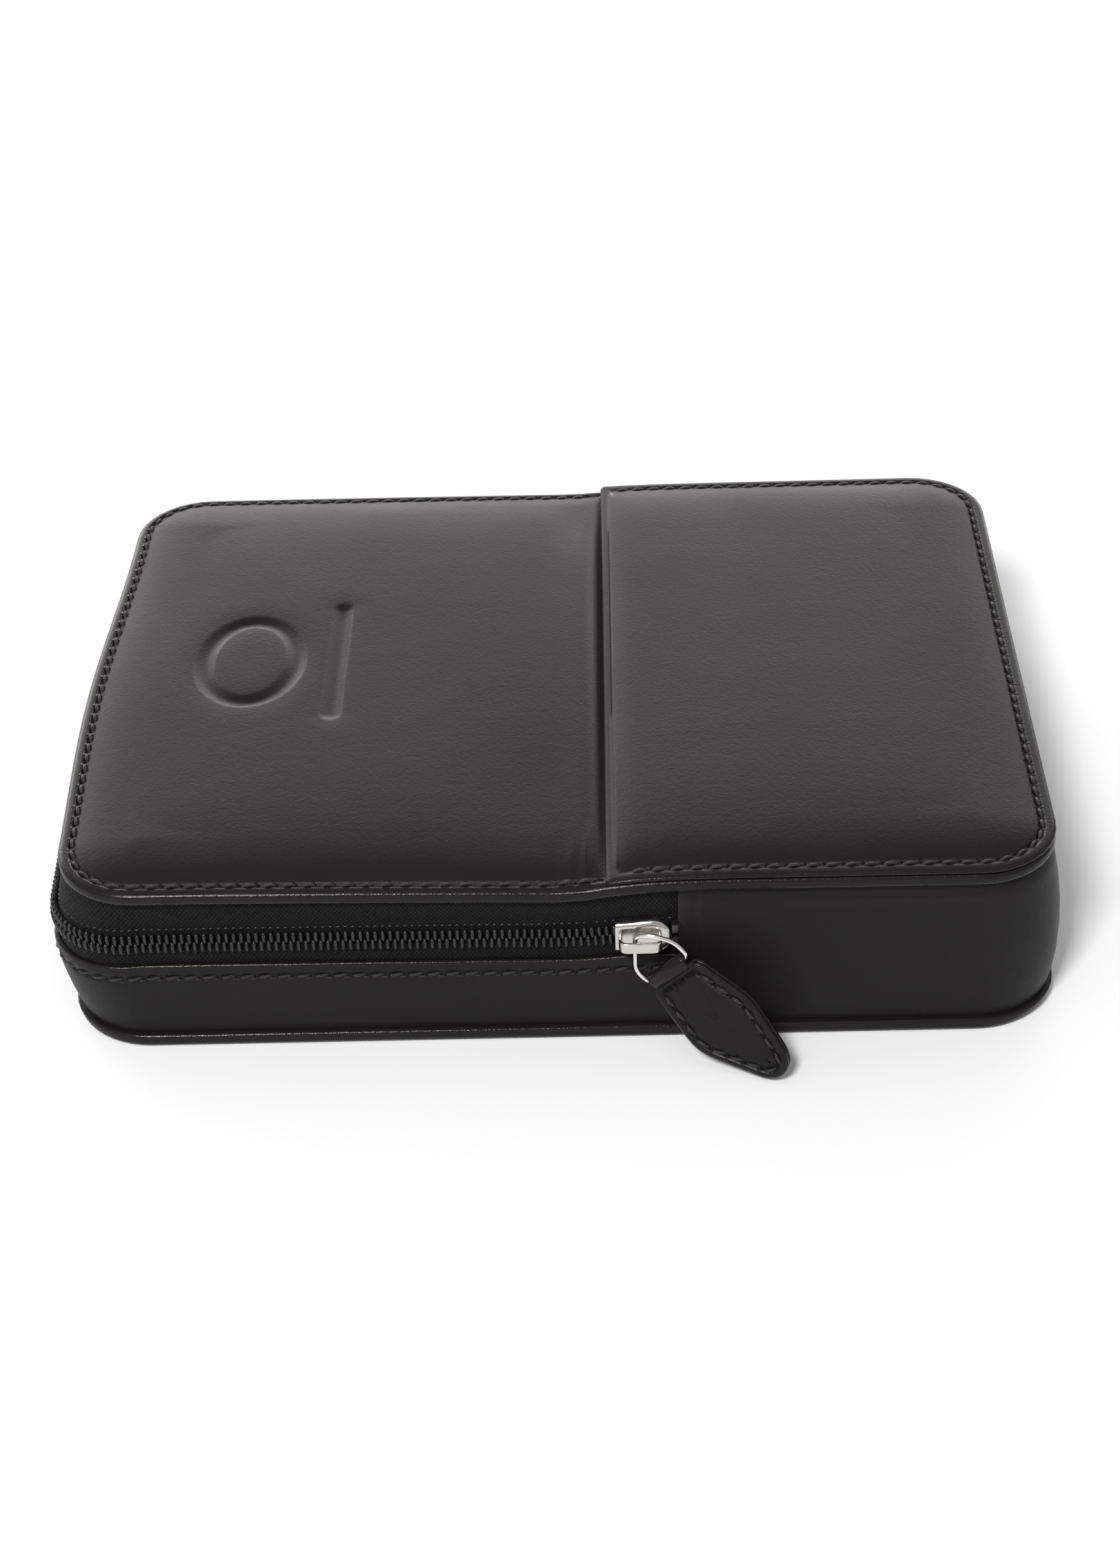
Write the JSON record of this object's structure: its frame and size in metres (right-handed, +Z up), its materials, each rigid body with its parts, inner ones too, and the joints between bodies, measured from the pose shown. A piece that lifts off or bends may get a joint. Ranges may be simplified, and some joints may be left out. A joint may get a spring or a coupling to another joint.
{
  "type": "fountain pen case",
  "caption": "Flat zip-round leather case for fountain pens, with a folding padded lid, an outside slip pocket and a leather pull.",
  "frame": {"origin": "centre of the underside, on the surface that the case lies on", "axes": "+X along the pens, from the lid half to the closed half; +Y from the front long side to the back one; +Z up"},
  "size_m": [0.17, 0.1474, 0.0352],
  "materials": {
    "lid_leather": "smooth black calf leather, satin, very fine grain",
    "wall_leather": "smooth black calf leather, satin, with polished edges",
    "pull_leather": "smooth black leather with a painted edge and black thread",
    "lining_fabric": "black woven lining, matt",
    "elastic": "ribbed black elastic webbing",
    "zip_tape": "black woven tape with a fine rib",
    "zip_coil": "black nylon coil, semi-gloss",
    "foam": "grey foam",
    "board": "grey-brown fibre board",
    "bright_metal": "polished nickel plate"
  },
  "bodies": {
    "case": {"base_cover": "wall_leather", "base_board": "board", "base_foam_pad": "foam", "base_lining": "lining_fabric", "zip_wall": "wall_leather", "zip_wall_board": "board", "zip_wall_lining": "lining_fabric", "end_wall": "wall_leather", "end_wall_board": "board", "end_wall_lining": "lining_fabric", "fixed_top_leather": "lid_leather", "fixed_top_board": "board", "fixed_top_lining": "lining_fabric", "pocket_leather": "lid_leather", "pocket_foam": "foam", "zip_tape_lower": "zip_tape", "zip_coil_lower": "zip_coil", "zip_tape_ends": "zip_tape", "zip_coil_ends": "zip_coil", "zip_top_stops": "bright_metal", "zip_bottom_stop": "bright_metal", "pen_bed": "lining_fabric", "pen_sleeve_1": "lining_fabric", "pen_sleeve_2": "lining_fabric", "pen_sleeve_3": "lining_fabric", "pen_sleeve_4": "lining_fabric", "pen_sleeve_5": "lining_fabric", "pen_sleeve_6": "lining_fabric", "pen_loop_1": "elastic", "pen_loop_2": "elastic", "pen_loop_3": "elastic", "pen_loop_4": "elastic", "pen_loop_5": "elastic", "pen_loop_6": "elastic"},
    "lid": {"lid_leather": "lid_leather", "lid_foam": "foam", "lid_board": "board", "lid_lining": "lining_fabric", "zip_tape_upper": "zip_tape", "zip_coil_upper": "zip_coil"},
    "slider": {"slider_body": "bright_metal", "slider_bridge": "bright_metal"},
    "pull_ring": {"pull_ring": "bright_metal"},
    "pull_tab": {"pull_front_leather": "pull_leather", "pull_back_leather": "pull_leather"}
  },
  "joints": [
    {"name": "lid_fold", "type": "hinge", "parent": "case", "child": "lid", "pos_m": [0.0065, 0, 0.033], "axis": [0, 1, 0], "range_deg": [0, 135]},
    {"name": "zip_slide", "type": "slide", "parent": "case", "child": "slider", "axis": [1, 0, 0], "range_m": [-0.076, 0]},
    {"name": "ring_swing", "type": "hinge", "parent": "slider", "child": "pull_ring", "pos_m": [0.0132, -0.0686, 0.0196], "axis": [0, 0, -1], "range_deg": [-6, 118]},
    {"name": "pull_swing", "type": "hinge", "parent": "pull_ring", "child": "pull_tab", "pos_m": [0.01887, -0.06981, 0.0169], "axis": [-0.6916, 0.147, -0.7071], "range_deg": [-17, 38]}
  ]
}
